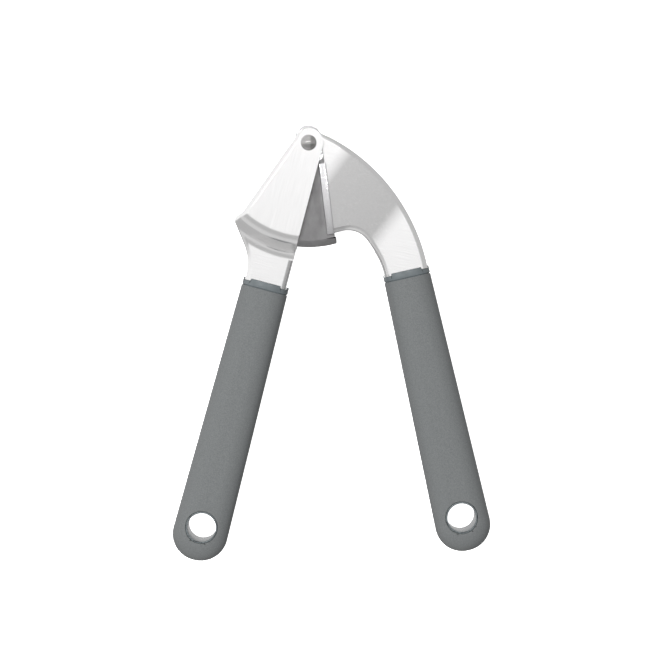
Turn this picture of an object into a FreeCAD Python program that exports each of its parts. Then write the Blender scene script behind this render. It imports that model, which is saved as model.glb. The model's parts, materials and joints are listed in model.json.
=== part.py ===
import FreeCAD, Part
import math
import os
import re
import sys
import Sketcher

from FreeCAD import Placement, Rotation, Vector

# Garlic press, lying on its side. Every piece is drawn about the pivot, with its own handle running
# along -Y, and is then turned about the pin by its body's rest angle. Millimetres and degrees.

document = FreeCAD.newDocument("GarlicPress")
sheet = document.addObject("Spreadsheet::Sheet", "dimensions")

drivingDimensions = (
    ("frameAngle", -14.8, "rest direction of the lower handle, from straight down"),
    ("basketAngle", 7.0, "rest direction of the basket's mouth"),
    ("armAngle", 12.75, "rest direction of the upper handle"),
    ("pressTravel", 6.0, "turn left between the plunger's face and the sieve"),
    ("wedgeAngle", 20.2, "angle between the basket's mouth and its sieve"),
    ("gauge", 1.5, "thickness of the stamped sheet"),
    ("hubRadius", 6.1, "round end of the frame about the pin"),
    ("headHalf", 17.0, "half the outside width of the frame's head"),
    ("neckHalf", 6.0, "half the thickness of both necks"),
    ("neckSeat", 1.0, "how far a neck stands in its grip's collar"),
    ("neckSeatGap", 0.25, "clearance round a neck in its collar"),
    ("joggleTop", 41.6, "radius where the head's face meets the joggle's slope"),
    ("joggleSlope", 64.0, "steepness of the joggle"),
    ("joggleCrown", 5.0, "outside radius of the joggle's upper bend"),
    ("joggleRoot", 4.0, "outside radius of the joggle's lower bend"),
    ("shoulderStart", 39.5, "where the frame's outline leaves the head's edge"),
    ("shoulderReach", 44.6, "distance of the frame's shoulder from the pin"),
    ("shoulderAngle", 31.2, "direction of the frame's shoulder"),
    ("shoulderTaper", 37.0, "slope of the outline below the shoulder"),
    ("shoulderRound", 2.8, "rounding of the shoulder's corner"),
    ("flareRound", 6.0, "rounding where the outline leaves the head's edge"),
    ("shoulderSweep", 21.0, "radius that leads the shoulder into the neck"),
    ("frameNeckInner", 6.1, "edge of the frame's neck towards the arm"),
    ("frameNeckOuter", 11.7, "edge of the frame's neck away from the arm"),
    ("neckWallStart", 44.6, "where the frame's open side closes into a tube"),
    ("webRelief", 8.4, "radius about the pin kept free of the webs"),
    ("windowGap", 0.2, "window in the frame's web beside the chamber's width"),
    ("windowStart", 9.5, "near end of the window in the frame's web"),
    ("windowEnd", 38.0, "far end of the window in the frame's web"),
    ("frameBend", 2.2, "outside radius of the frame's bend into its web"),
    ("armBend", 2.4, "outside radius of the arm's bend into its web"),
    ("pinRadius", 2.5, "shank of the pivot pin"),
    ("runningGap", 0.05, "radial clearance of what turns on the pin"),
    ("domeRadius", 3.3, "radius of the pin's domed heads"),
    ("domeHeight", 1.9, "height of the pin's domed heads"),
    ("spigotRadius", 1.4, "end of the pin that the far head is riveted on"),
    ("spigotLength", 1.2, "length of that end"),
    ("domeRound", 1.7, "rounding of the pin's heads"),
    ("sieveGap", 0.2, "clearance between the sieve and the frame's web"),
    ("sieveGauge", 1.2, "thickness of the sieve"),
    ("sieveHole", 1.0, "radius of a hole in the sieve"),
    ("sievePitch", 3.0, "distance between the sieve's holes"),
    ("sieveRebate", 0.6, "ledge of the basket that the sieve sits in"),
    ("chamberBeyond", 2.0, "how far the sieve's clearance cuts past the basket's back"),
    ("chamberHalf", 12.0, "half the inside width of the basket"),
    ("basketWall", 2.0, "thickness of the basket's sides"),
    ("rimGap", 0.3, "gap between the basket's rim and the frame's plates"),
    ("rimDepth", 3.1, "height of the rim's side band"),
    ("mouthOffset", 6.1, "distance of the basket's mouth from the pin"),
    ("rimStart", 9.0, "near end of the rim"),
    ("rimEnd", 38.9, "far end of the rim"),
    ("basketBeyond", 3.3, "how far the basket's end is past the frame's joggle, less the gauge"),
    ("basketTaper", 2.4, "length of the taper at the basket's end"),
    ("basketTaperHalf", 9.4, "half the width of the basket's end"),
    ("lipRise", 0.5, "how far the end wall stands above the mouth"),
    ("chamberEnd", 40.4, "far wall of the chamber"),
    ("earRadius", 5.5, "round end of the basket's ears"),
    ("earRise", 2.0, "how far the ears' round end is beyond the pin"),
    ("hubWallInner", 6.7, "inner radius of the wall between hub and chamber"),
    ("hubWallOuter", 8.0, "outer radius of the wall between hub and chamber"),
    ("hubWallAngle", 8.0, "direction that the hub wall rises to"),
    ("bossRadius", 4.6, "bearing bosses on the basket's ears"),
    ("sideGap", 0.1, "gap between faces that turn past each other"),
    ("armGap", 0.5, "gap between the arm's plates and the basket's ears"),
    ("armHub", 6.3, "round end of the arm about the pin"),
    ("armCrownAngle", 52.1, "direction that the arm's back leaves the hub in"),
    ("armCrown", 79.0, "radius of the arm's back"),
    ("armSlopeAngle", 49.6, "direction in which the arm gets thinner"),
    ("armSlopeStart", 14.2, "where the arm starts to get thinner"),
    ("armSlopeEnd", 47.4, "where the arm reaches the neck's thickness"),
    ("armSlopeBlend", 40.0, "radius at both ends of the arm's slope"),
    ("armFoot", 38.9, "straight lower edge of the arm"),
    ("armFootReach", 39.3, "arc of the arm's lower edge inside the basket"),
    ("armNotchReach", 12.5, "corner of the notch beside the upper neck"),
    ("armNotchRadius", 9.5, "rounding of that notch"),
    ("armNotchTaper", 22.0, "slope of the edge below the notch"),
    ("armNotchSweep", 30.0, "radius that leads the notch into the neck"),
    ("armMouthEnd", 50.0, "where the arm's open side closes into a tube"),
    ("armNeckHalf", 9.3, "half the width of the arm's neck"),
    ("armPlateOffset", 2.0, "inner edge of the arm's plates from the pin"),
    ("plungerGap", 0.3, "gap left over the sieve at the end of a squeeze"),
    ("plungerSideGap", 0.3, "gap beside the plunger in the chamber"),
    ("plungerHubGap", 0.9, "gap between the plunger and the wall round the hub"),
    ("plungerEndGap", 1.8, "gap between the plunger and the chamber's far wall"),
    ("plungerFoot", 3.5, "thickness of the plunger's foot"),
    ("plungerStemGap", 0.5, "gap of the plunger's stem beside a bend of the arm"),
    ("plungerStemTop", 9.0, "top of the plunger's stem from the pin"),
    ("plungerPinRadius", 1.5, "pins that hold the plunger"),
    ("plungerPinOffset", 5.5, "distance of those pins from the pin's centre line"),
    ("plungerPinNear", 13.0, "place of the first of those pins"),
    ("plungerPinFar", 31.0, "place of the second of those pins"),
    ("plungerPinInset", 1.0, "depth of those pins' ends in the arm's plates"),
    ("washerRadius", 5.2, "washers beside the arm's hub"),
    ("washerGauge", 0.4, "thickness of those washers"),
    ("sleeveWall", 1.8, "wall of the sleeve on the pin"),
    ("gripTop", 61.0, "top of both grips from the pin"),
    ("gripLength", 122.5, "length of both grips"),
    ("frameGripOffset", -2.6, "centre line of the lower grip"),
    ("armGripOffset", 28.3, "centre line of the upper grip"),
    ("gripTopHalf", 9.95, "half the width of a grip at its collar"),
    ("gripEndHalf", 12.0, "half the width of a grip at its end"),
    ("gripEndRound", 11.4, "rounding of a grip's end"),
    ("gripThickness", 15.0, "thickness of a grip"),
    ("gripEdgeRound", 5.0, "rounding of a grip's long edges"),
    ("collarLength", 3.0, "length of the bare collar"),
    ("collarGroove", 0.4, "groove between the collar and the soft sleeve"),
    ("skinThickness", 2.2, "thickness of the soft sleeve"),
    ("coreEdgeRound", 3.2, "rounding of the core's long edges"),
    ("hangReach", 107.4, "hang hole's centre from a grip's top"),
    ("hangRadius", 6.05, "radius of the hang hole"),
    ("linerRadius", 6.8, "outside radius of the hang hole's liner"),
    ("tangHalf", 6.0, "half the width of a tang"),
    ("tangThickness", 3.0, "thickness of a tang"),
    ("tangLength", 31.0, "length of a tang inside its grip"),
    ("tangPinRadius", 1.5, "pin that locks a tang"),
    ("tangPinReach", 19.0, "place of that pin from a grip's top"),
    ("tangPinHalf", 5.0, "half the length of that pin"),
)

for row, (alias, size, meaning) in enumerate(drivingDimensions, start=1):
    sheet.set(f"A{row}", meaning)
    sheet.set(f"B{row}", str(size))
    sheet.setAlias(f"B{row}", alias)
document.recompute()

# The pivot's place in the part's own frame, found once the pieces exist.
pivotCells = {"pivotX": "D1", "pivotY": "D2", "pivotZ": "D3"}
for alias, cell in pivotCells.items():
    sheet.set(cell, "0")
    sheet.setAlias(cell, alias)
document.recompute()

# Sizes that follow from the driving ones, so that the pieces keep fitting each other.
followingSizes = {
    "windowHalf": "(chamberHalf + windowGap)",
    "rimHalf": "(headHalf - gauge - rimGap)",
    "basketReach": "(joggleTop - gauge + basketBeyond)",
    "basketShoulder": "(joggleTop - gauge + basketBeyond - basketTaper)",
    "armHalf": "(chamberHalf - armGap)",
    "plungerStemHalf": "(chamberHalf - armGap - 2 * gauge - plungerStemGap)",
    "plungerPinHalf": "(chamberHalf - armGap - plungerPinInset)",
}

aliases = [alias for alias, *rest in drivingDimensions] + list(pivotCells)
aliasPattern = re.compile(r"\b(" + "|".join(aliases) + r")\b")
followingPattern = re.compile(r"\b(" + "|".join(followingSizes) + r")\b")
subparts = []


# An expression is written with the bare names of the sheet and of the following sizes.
def bound(text):
    written = followingPattern.sub(lambda found: followingSizes[found.group()], str(text))
    return aliasPattern.sub(r"dimensions.\1", written)


def number(text):
    found = sheet.evalExpression(bound(text))
    return float(getattr(found, "Value", found))


def bind(thing, **expressions):
    for name, text in expressions.items():
        thing.setExpression(name.replace("__", "."), bound(text))
    return thing


# A closed sketch outline through corners (x, y, rounding), each an expression. Rounding 0 is a sharp
# corner. The corners stay in the sketch as points whose places are bound to the sheet.
def drawOutline(sketch, corners):
    places = [Vector(number(x), number(y), 0) for x, y, _ in corners]
    radii = [number(r) for _, _, r in corners]
    total = len(corners)
    arcs, starts, ends = [], [], []
    for i in range(total):
        here = places[i]
        before = (places[i - 1] - here).normalize()
        after = (places[(i + 1) % total] - here).normalize()
        half = before.getAngle(after) / 2
        reach = radii[i] / math.tan(half)
        ends.append(here + before * reach)
        starts.append(here + after * reach)
        if not radii[i]:
            arcs.append(None)
            continue
        centre = here + (before + after).normalize() * (radii[i] / math.sin(half))
        leftTurn = before.cross(after).z < 0
        first, last = (ends[i], starts[i]) if leftTurn else (starts[i], ends[i])
        angles = [math.atan2((p - centre).y, (p - centre).x) for p in (first, last)]
        circle = Part.Circle(centre, Vector(0, 0, 1), radii[i])
        arcs.append((Part.ArcOfCircle(circle, *angles), leftTurn))
    lines = [sketch.addGeometry(Part.LineSegment(starts[i], ends[(i + 1) % total]), False)
             for i in range(total)]
    for i, (x, y, rounding) in enumerate(corners):
        point = sketch.addGeometry(Part.Point(places[i]), True)
        for kind, text, value in (("DistanceX", x, places[i].x), ("DistanceY", y, places[i].y)):
            index = sketch.addConstraint(Sketcher.Constraint(kind, -1, 1, point, 1, value))
            sketch.setExpression(f"Constraints[{index}]", bound(text))
        if arcs[i] is None:
            sketch.addConstraint(Sketcher.Constraint("Coincident", lines[i - 1], 2, lines[i], 1))
            sketch.addConstraint(Sketcher.Constraint("Coincident", lines[i], 1, point, 1))
            continue
        for line in (lines[i - 1], lines[i]):
            sketch.addConstraint(Sketcher.Constraint("PointOnObject", point, 1, line))
        geometry, leftTurn = arcs[i]
        arc = sketch.addGeometry(geometry, False)
        entry, leaving = (1, 2) if leftTurn else (2, 1)
        sketch.addConstraint(Sketcher.Constraint("Tangent", lines[i - 1], 2, arc, entry))
        sketch.addConstraint(Sketcher.Constraint("Tangent", lines[i], 1, arc, leaving))
        index = sketch.addConstraint(Sketcher.Constraint("Radius", arc, radii[i]))
        sketch.setExpression(f"Constraints[{index}]", bound(rounding))
    return sketch


# A sketch on its own: flat on the pivot's plane, or upright in a plane through the pin's axis.
def looseSketch(name, corners, upright=False, turn="0"):
    sketch = document.addObject("Sketcher::SketchObject", name)
    tilt = Rotation(Vector(1, 0, 0), 90) if upright else Rotation()
    sketch.Placement = Placement(Vector(), Rotation(Vector(0, 0, 1), number(turn)).multiply(tilt))
    return drawOutline(sketch, corners)


def extruded(name, base, half):
    solid = document.addObject("Part::Extrusion", name)
    solid.Base = base
    solid.DirMode = "Normal"
    solid.Solid = True
    solid.Symmetric = True
    return bind(solid, LengthFwd=f"2 * ({half})")


def revolved(name, base):
    solid = document.addObject("Part::Revolution", name)
    solid.Source = base
    solid.Axis = Vector(0, 0, 1)
    solid.Angle = 360
    solid.Solid = True
    return solid


def cylinder(name, radius, half, x="0", y="0"):
    solid = document.addObject("Part::Cylinder", name)
    return bind(solid, Radius=radius, Height=f"2 * ({half})", Placement__Base__x=x,
                Placement__Base__y=y, Placement__Base__z=f"-({half})")


# A box between two x, two y, and the same z either side; turned about the pin if asked.
def block(name, left, right, bottom, top, half, turn="0"):
    corners = [(left, bottom, "0"), (right, bottom, "0"), (right, top, "0"), (left, top, "0")]
    return extruded(name, looseSketch(name + "Sketch", corners, turn=turn), half)


def combine(kind, name, first, *others):
    if kind == "Cut":
        solid = document.addObject("Part::Cut", name)
        solid.Base = first
        solid.Tool = others[0] if len(others) == 1 else combine("Fuse", name + "Tools", *others)
        return solid
    solid = document.addObject("Part::MultiFuse" if kind == "Fuse" else "Part::MultiCommon", name)
    solid.Shapes = [first, *others]
    return solid


# Rounds the edges between the faces of a stamping and its side walls, where the test picks a place.
# They are taken from the pin to the neck, one face after the other, as the rounding builds on them.
def bent(name, base, radius, test):
    document.recompute()
    picked = []
    for i, edge in enumerate(base.Shape.Edges, start=1):
        middle = edge.valueAt((edge.FirstParameter + edge.LastParameter) / 2)
        if not isRib(edge, middle) and test(middle):
            picked.append((middle.z > 0, -middle.y, i))
    solid = document.addObject("Part::Fillet", name)
    solid.Base = base
    solid.Edges = [(i, number(radius), number(radius)) for *_, i in sorted(picked)]
    return solid


# Edges that a bend leaves alone: upright ones, those at the neck's end, and those between two
# faces of the stamping, which follow the pin or run straight across.
def isRib(edge, middle):
    upright = edge.BoundBox.ZLength > number("neckHalf")
    atEnd = min(abs(middle.y - number(neckEnd)), abs(middle.y - number("2 * hubRadius"))) < 1e-4
    curve = edge.Curve
    aboutPin = isinstance(curve, Part.Circle) and math.hypot(curve.Center.x, curve.Center.y) < 1e-6
    return upright or atEnd or (aboutPin and curve.Radius > number("webRelief"))


# A sub-part: its label names its file, and its placement turns it about the pin to its body's rest
# angle and carries the pivot to its place in the part's own frame.
def finish(thing, label, angle):
    thing.Label = label
    thing.Placement = Placement(Vector(), Rotation(Vector(0, 0, 1), number(angle)))
    bind(thing, Placement__Rotation__Angle=angle, Placement__Base__x="pivotX",
         Placement__Base__y="pivotY", Placement__Base__z="pivotZ")
    subparts.append(thing)


def bodySketch(body, name, role="XY_Plane"):
    sketch = body.newObject("Sketcher::SketchObject", name)
    plane = next(f for f in body.Origin.OriginFeatures if f.Role == role)
    sketch.AttachmentSupport = (plane, [""])
    sketch.MapMode = "FlatFace"
    return sketch


# A body turned from an outline in radius and height: about the pin, or about its own place.
def turnedBody(name, corners, place=("0", "0")):
    body = document.addObject("PartDesign::Body", name)
    sketch = bodySketch(body, name + "Section", "XZ_Plane")
    x, y = place
    bind(sketch, AttachmentOffset__Base__x=x, AttachmentOffset__Base__z=f"-({y})")
    drawOutline(sketch, corners)
    turned = body.newObject("PartDesign::Revolution", name + "Turned")
    turned.Profile = sketch
    turned.ReferenceAxis = (sketch, ["V_Axis"])
    turned.Angle = 360
    return body


# Places along a line that leaves the pin's centre at an angle from -Y, and stands to its right.
def along(angle, distance, right):
    x = f"({distance}) * sin({angle}) + ({right}) * cos({angle})"
    y = f"-({distance}) * cos({angle}) + ({right}) * sin({angle})"
    return x, y


# An outline moved inwards by the sheet's thickness.
def insetOutline(name, outline):
    inset = document.addObject("Part::Offset2D", name)
    inset.Source = outline
    inset.Join = 2
    return bind(inset, Value="-gauge")


def square(left, right, bottom, top):
    return [(left, bottom, "0"), (right, bottom, "0"), (right, top, "0"), (left, top, "0")]


# ---- frame shell: stamped head, joggle, neck and tang ----

farOut = "2 * gripTop"
neckEnd = "-(gripTop + neckSeat)"


# The frame is bent along its back, from the hub to the neck, on the side away from the arm.
def isFrameBack(place):
    return place.x < number("frameNeckInner") - 1


# Section of the frame about the pin: wide head, joggle, narrow neck; inset by part of the gauge.
def joggleSection(name, inset):
    top = f"joggleTop - ({inset}) * tan(joggleSlope / 2)"
    foot = f"{top} + (headHalf - neckHalf) / tan(joggleSlope)"
    crown, root = f"joggleCrown - ({inset})", f"joggleRoot + ({inset})"
    head, neck = f"headHalf - ({inset})", f"neckHalf - ({inset})"
    corners = [("0", f"-({head})", "0"), (top, f"-({head})", crown), (foot, f"-({neck})", root),
               (farOut, f"-({neck})", "0"), (farOut, neck, "0"), (foot, neck, root),
               (top, head, crown), ("0", head, "0")]
    return revolved(name, looseSketch(name + "Sketch", corners, upright=True))


def tang(prefix, centre):
    left, right = f"{centre} - tangHalf", f"{centre} + tangHalf"
    bar = block(prefix + "Tang", left, right, "-(gripTop + tangLength)", f"{neckEnd} + gauge / 2",
                "tangThickness / 2")
    hole = cylinder(prefix + "TangHole", "tangPinRadius", "tangThickness", x=centre,
                    y="-(gripTop + tangPinReach)")
    return combine("Cut", prefix + "TangDrilled", bar, hole)


# The frame's plan. Its head ends in the round hub, or is left square beyond it for the bends.
def frameOutline(name, roundHub):
    flare = along("-wedgeAngle", "shoulderStart", "-hubRadius")
    shoulder = along("-shoulderAngle", "shoulderReach", "0")
    taperDrop = f"(({shoulder[0]}) + frameNeckOuter) / tan(shoulderTaper)"
    beyond = "2 * hubRadius"
    if roundHub:
        head = [("frameNeckInner", "hubRadius / tan(wedgeAngle / 2)", "hubRadius")]
    else:
        head = [("frameNeckInner", beyond, "0"),
                (f"({beyond} * sin(wedgeAngle) - hubRadius) / cos(wedgeAngle)", beyond, "0")]
    return looseSketch(name, head + [
        (*flare, "flareRound"), (*shoulder, "shoulderRound"),
        ("-frameNeckOuter", f"({shoulder[1]}) + {taperDrop}", "shoulderSweep"),
        ("-frameNeckOuter", neckEnd, "0"), ("frameNeckInner", neckEnd, "0")])


# What rounds the neck's edge towards the arm: all of the head, and below the joggle a bar whose
# long edges on that side have the sheet's bend.
def neckLimit():
    foot = ("joggleTop + (headHalf - neckHalf) / tan(joggleSlope)"
            " + joggleRoot * tan(joggleSlope / 2)")
    head = block("FrameLimitHead", "-3 * headHalf", "headHalf", f"-({foot})", "headHalf", "headHalf")
    section = looseSketch("FrameLimitSection", [
        ("-3 * headHalf", "-neckHalf", "0"), ("frameNeckInner", "-neckHalf", "frameBend"),
        ("frameNeckInner", "neckHalf", "frameBend"), ("-3 * headHalf", "neckHalf", "0")], upright=True)
    return combine("Fuse", "FrameLimit", head, extruded("FrameLimitNeck", section, "2 * gripTop"))


def frameShell():
    sharp = combine("Common", "FrameSharp",
                    extruded("FrameBlank", frameOutline("FrameBendOutline", False), "headHalf"),
                    joggleSection("FrameOuterSection", "0"))
    folded = bent("FrameFolded", sharp, "frameBend", isFrameBack)
    outline = frameOutline("FrameOutline", True)
    outer = combine("Common", "FrameOuter", folded, extruded("FrameTrim", outline, "headHalf"), neckLimit())
    mouth = block("FrameMouth", "0", "frameNeckInner + gauge", "-neckWallStart", "hubRadius * 2",
                  "headHalf")
    hollowPlan = combine("Fuse", "FrameHollowPlan",
                         extruded("FrameInsetBlank", insetOutline("FrameInset", outline), "headHalf"),
                         mouth, cylinder("FrameRelief", "webRelief", "headHalf"))
    hollow = combine("Common", "FrameHollow", hollowPlan, joggleSection("FrameInnerSection", "gauge"))
    window = block("FrameWindow", "-hubRadius - gauge", "0", "-windowEnd", "-windowStart", "windowHalf",
                   turn="-wedgeAngle")
    bore = cylinder("FrameBore", "pinRadius", "headHalf + gauge")
    shell = combine("Cut", "FrameSheet", outer, hollow, window, bore)
    whole = combine("Fuse", "FrameShell", shell, tang("Frame", "frameGripOffset"))
    finish(whole, "frame_shell", "frameAngle")


# ---- pivot pin and its far head ----

def pivotPin():
    top = "headHalf + domeHeight"
    rivetEnd = "-(headHalf + spigotLength)"
    pin = turnedBody("PivotPin", [
        ("0", rivetEnd, "0"), ("spigotRadius", rivetEnd, "0"), ("spigotRadius", "-headHalf", "0"),
        ("pinRadius", "-headHalf", "0"), ("pinRadius", "headHalf", "0"), ("domeRadius", "headHalf", "0"),
        ("domeRadius", top, "domeRound"), ("0", top, "0")])
    finish(pin, "pivot_pin", "frameAngle")


def pinCap():
    foot, face = "-(headHalf + domeHeight)", "-headHalf"
    seat = "-(headHalf + spigotLength)"
    body = turnedBody("PinCap", [
        ("0", foot, "0"), ("domeRadius", foot, "domeRound"), ("domeRadius", face, "0"),
        ("spigotRadius", face, "0"), ("spigotRadius", seat, "0"), ("0", seat, "0")])
    finish(body, "pin_cap", "frameAngle")


# ---- basket: cast sieve chamber hung on the pin ----

sieveOuter = "-(hubRadius - gauge - sieveGap)"
sieveInner = f"({sieveOuter} + sieveGauge)"
sieveNear = "hubWallInner - sieveRebate"
sieveFar = "chamberEnd + sieveRebate / 2"
basketSide = "chamberHalf + basketWall"
bossFace = "headHalf - gauge - sideGap"


# Section of the basket about the pin: its end tapers between the frame's plates.
def basketSection():
    corners = [("0", f"-({basketSide})", "0"), ("basketShoulder", f"-({basketSide})", "0"),
               ("basketReach", "-basketTaperHalf", "0"), ("basketReach", "basketTaperHalf", "0"),
               ("basketShoulder", basketSide, "0"), ("0", basketSide, "0")]
    return revolved("BasketSection", looseSketch("BasketSectionSketch", corners, upright=True))


def basket():
    # The back leaves the ears where the sieve's outside reaches their width.
    heel = along("-wedgeAngle", f"(earRadius + ({sieveOuter}) * cos(wedgeAngle)) / sin(wedgeAngle)",
                 sieveOuter)
    past = "basketReach + basketWall"
    toe = along("-wedgeAngle", past, sieveOuter)
    ear = "earRadius - sideGap"
    crown = "earRadius + earRise"
    corners = [("earRadius", crown, ear), ("-earRadius", crown, ear), (*heel, "0"), (*toe, "0"),
               ("mouthOffset", f"-({past})", "0"), ("mouthOffset", "-rimStart", "0"),
               ("earRadius", "-rimStart", "0")]
    outline = looseSketch("BasketOutline", corners)
    walls = combine("Common", "BasketWalls", extruded("BasketBlank", outline, basketSide),
                    basketSection())
    rim = block("BasketRim", "mouthOffset - rimDepth", "mouthOffset", "-rimEnd", "-rimStart", "rimHalf")
    lip = combine("Common", "BasketLip",
                  block("BasketLipBlank", "0", "mouthOffset + lipRise", "-basketReach", "-chamberEnd",
                        basketSide), document.BasketSection)
    bosses = cylinder("BasketBosses", "bossRadius", bossFace)
    solid = combine("Fuse", "BasketSolid", walls, rim, lip, bosses)
    hubWall = combine("Common", "HubWall",
                      combine("Cut", "HubWallRing",
                              cylinder("HubWallOutside", "hubWallOuter", "chamberHalf"),
                              cylinder("HubWallInside", "hubWallInner", "rimHalf")),
                      block("HubWallSide", "-rimHalf", "0", "-rimHalf", "0", "rimHalf",
                            turn="-hubWallAngle"))
    chamber = combine("Cut", "Chamber", cylinder("ChamberRound", "chamberEnd", "chamberHalf"), hubWall)
    rebate = block("SieveRebate", f"{sieveOuter} - chamberBeyond", sieveInner, f"-({sieveFar})",
                   f"-({sieveNear})", "chamberHalf + sieveRebate", turn="-wedgeAngle")
    bore = cylinder("BasketBore", "pinRadius + runningGap", "headHalf")
    finish(combine("Cut", "Basket", solid, chamber, rebate, bore), "basket", "basketAngle")


# Rows of holes, every second row shifted by half the pitch, inside the frame's window.
def sievePlate():
    plate = block("SieveBlank", sieveOuter, sieveInner, f"-({sieveFar})", f"-({sieveNear})",
                  "chamberHalf + sieveRebate", turn="-wedgeAngle")
    pitch = number("sievePitch")
    rise = pitch * math.sqrt(3) / 2
    margin = number("sieveHole") + 0.5 * number("gauge")
    low, high = number("windowStart") + margin, number("windowEnd") - margin
    half = number("windowHalf") - margin
    rows = int((high - low) / rise) + 1
    start = (low + high - (rows - 1) * rise) / 2
    depth = 3 * number("sieveGauge")
    turn = Rotation(Vector(0, 0, 1), number("-wedgeAngle"))
    across = turn.multVec(Vector(1, 0, 0))
    tools = []
    for row in range(rows):
        count = int(half / pitch) - row % 2
        for column in range(-count, count + 1 + row % 2):
            z = (column - (row % 2) * 0.5) * pitch
            centre = Vector(number(sieveOuter) - number("sieveGauge"), -(start + row * rise), z)
            tools.append(Part.makeCylinder(number("sieveHole"), depth, turn.multVec(centre), across))
    holes = document.addObject("Part::Feature", "SieveHoles")
    holes.Shape = Part.makeCompound(tools)
    finish(combine("Cut", "SievePlate", plate, holes), "sieve_plate", "basketAngle")


# ---- arm shell: stamped channel with its web along the back ----

# Half-thickness of the arm: wide at the pin, thinner towards the neck, inset by part of the gauge.
def armSection(name, inset):
    wide, thin = f"armHalf - ({inset})", f"neckHalf - ({inset})"
    corners = [(f"-({farOut})", f"-({wide})", "0"), ("armSlopeStart", f"-({wide})", "armSlopeBlend"),
               ("armSlopeEnd", f"-({thin})", "armSlopeBlend"), (farOut, f"-({thin})", "0"),
               (farOut, thin, "0"), ("armSlopeEnd", thin, "armSlopeBlend"),
               ("armSlopeStart", wide, "armSlopeBlend"), (f"-({farOut})", wide, "0")]
    section = looseSketch(name + "Sketch", corners, upright=True, turn="-armSlopeAngle")
    return extruded(name, section, farOut)


faceAngle = "(basketAngle - wedgeAngle + pressTravel - armAngle)"
armBackSide = "(armGripOffset + armNeckHalf)"
armBackCorner = f"((armHub - {armBackSide} * cos(armCrownAngle)) / sin(armCrownAngle))"


# The arm is bent along its back, whose long curve and straight end are picked here.
def isArmBack(place):
    drop = number(f"{armBackCorner} - armCrown * tan(armCrownAngle / 2)")
    centre = Vector(number(f"{armBackSide} - armCrown"), drop, place.z)
    onCurve = abs((place - centre).Length - number("armCrown")) < 1e-3 and place.y > drop
    return onCurve or place.x > number(armBackSide) - 1e-3


# It is also bent along the edge of its neck, below the notch.
def isArmNotch(place):
    notch = number("-(armFoot + armNotchRadius / 2)")
    return place.y < notch and place.x < number("armGripOffset - armNeckHalf / 2")


def armShell():
    neckInner = "armGripOffset - armNeckHalf"
    notchDrop = f"({neckInner} - armNotchReach) / tan(armNotchTaper)"
    hubTop = ("armHub * cos(armCrownAngle)", "armHub * sin(armCrownAngle)")
    hubFoot = along(faceAngle, "0", "armPlateOffset")
    plateEnd = along(faceAngle, "armFootReach + 2 * gauge", "armPlateOffset")
    corners = [(*hubTop, "0"), (*hubFoot, "0"), (*plateEnd, "0"),
               (f"{plateEnd[0]} + gauge", "-armFoot", "0"),
               ("armNotchReach", "-armFoot", "armNotchRadius"),
               (neckInner, f"-armFoot - {notchDrop}", "armNotchSweep"),
               (neckInner, neckEnd, "0"), (armBackSide, neckEnd, "0"),
               (armBackSide, armBackCorner, "armCrown")]
    outline = looseSketch("ArmOutline", corners)
    plan = combine("Fuse", "ArmPlan", extruded("ArmBlank", outline, "armHalf"),
                   cylinder("ArmHubBlank", "armHub", "armHalf"))
    corner = combine("Cut", "ArmFootCorner",
                     block("ArmFootBox", "-armFootReach", "armNotchReach / 3", "-armFootReach * 2", "0",
                           "armHalf"),
                     cylinder("ArmFootRound", "armFootReach", "armHalf + gauge"))
    sharp = combine("Common", "ArmSharp", combine("Cut", "ArmTrimmed", plan, corner),
                    armSection("ArmOuterSection", "0"))
    back = bent("ArmBackBend", sharp, "armBend", isArmBack)
    outer = bent("ArmOuter", back, "armBend", isArmNotch)
    side = block("ArmMouthSide", "-armFootReach", "armPlateOffset + 2 * gauge", "-armFootReach * 1.5",
                 "armHub * 2", "armHalf", turn=faceAngle)
    foot = block("ArmMouthFoot", "-armFootReach", f"{neckInner} + gauge / 3", "-armMouthEnd",
                 "-armFoot + 2 * gauge", "armHalf")
    hollowPlan = combine("Fuse", "ArmHollowPlan",
                         extruded("ArmInsetBlank", insetOutline("ArmInset", outline), "armHalf"),
                         side, foot, cylinder("ArmRelief", "webRelief", "armHalf"))
    hollow = combine("Common", "ArmHollow", hollowPlan, armSection("ArmInnerSection", "gauge"))
    bore = cylinder("ArmBore", "pinRadius + runningGap", "headHalf")
    pins = plungerPinHoles("Arm")
    shell = combine("Cut", "ArmSheet", outer, hollow, bore, *pins)
    finish(combine("Fuse", "ArmShell", shell, tang("Arm", "armGripOffset")), "arm_shell", "armAngle")


# ---- plunger, its pins, and what sits on the pivot pin between the arm's plates ----

pinPlaces = [along(faceAngle, reach, "plungerPinOffset")
             for reach in ("plungerPinNear", "plungerPinFar")]


def plungerPinHoles(prefix):
    return [cylinder(f"{prefix}PinHole{i}", "plungerPinRadius", "headHalf", *place)
            for i, place in enumerate(pinPlaces)]


def plunger():
    face = f"({sieveInner} + plungerGap)"
    inner, outer = "hubWallOuter + plungerHubGap", "chamberEnd - plungerEndGap"
    ring = combine("Cut", "PlungerRing", cylinder("PlungerReach", outer, "headHalf"),
                   cylinder("PlungerHollow", inner, "headHalf + gauge"))
    foot = block("PlungerFoot", face, f"{face} + plungerFoot", f"-({outer})", "0",
                 "chamberHalf - plungerSideGap", turn=faceAngle)
    stem = block("PlungerStem", f"{face} + plungerFoot / 2", "plungerStemTop", f"-({outer})", "0",
                 "plungerStemHalf", turn=faceAngle)
    solid = combine("Common", "PlungerSolid", combine("Fuse", "PlungerBlank", foot, stem), ring)
    finish(combine("Cut", "Plunger", solid, *plungerPinHoles("Plunger")), "plunger", "armAngle")


def plungerPins():
    pins = [cylinder(f"PlungerPin{i}", "plungerPinRadius", "plungerPinHalf", *place)
            for i, place in enumerate(pinPlaces)]
    finish(combine("Fuse", "PlungerPins", *pins), "plunger_pins", "armAngle")


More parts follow.
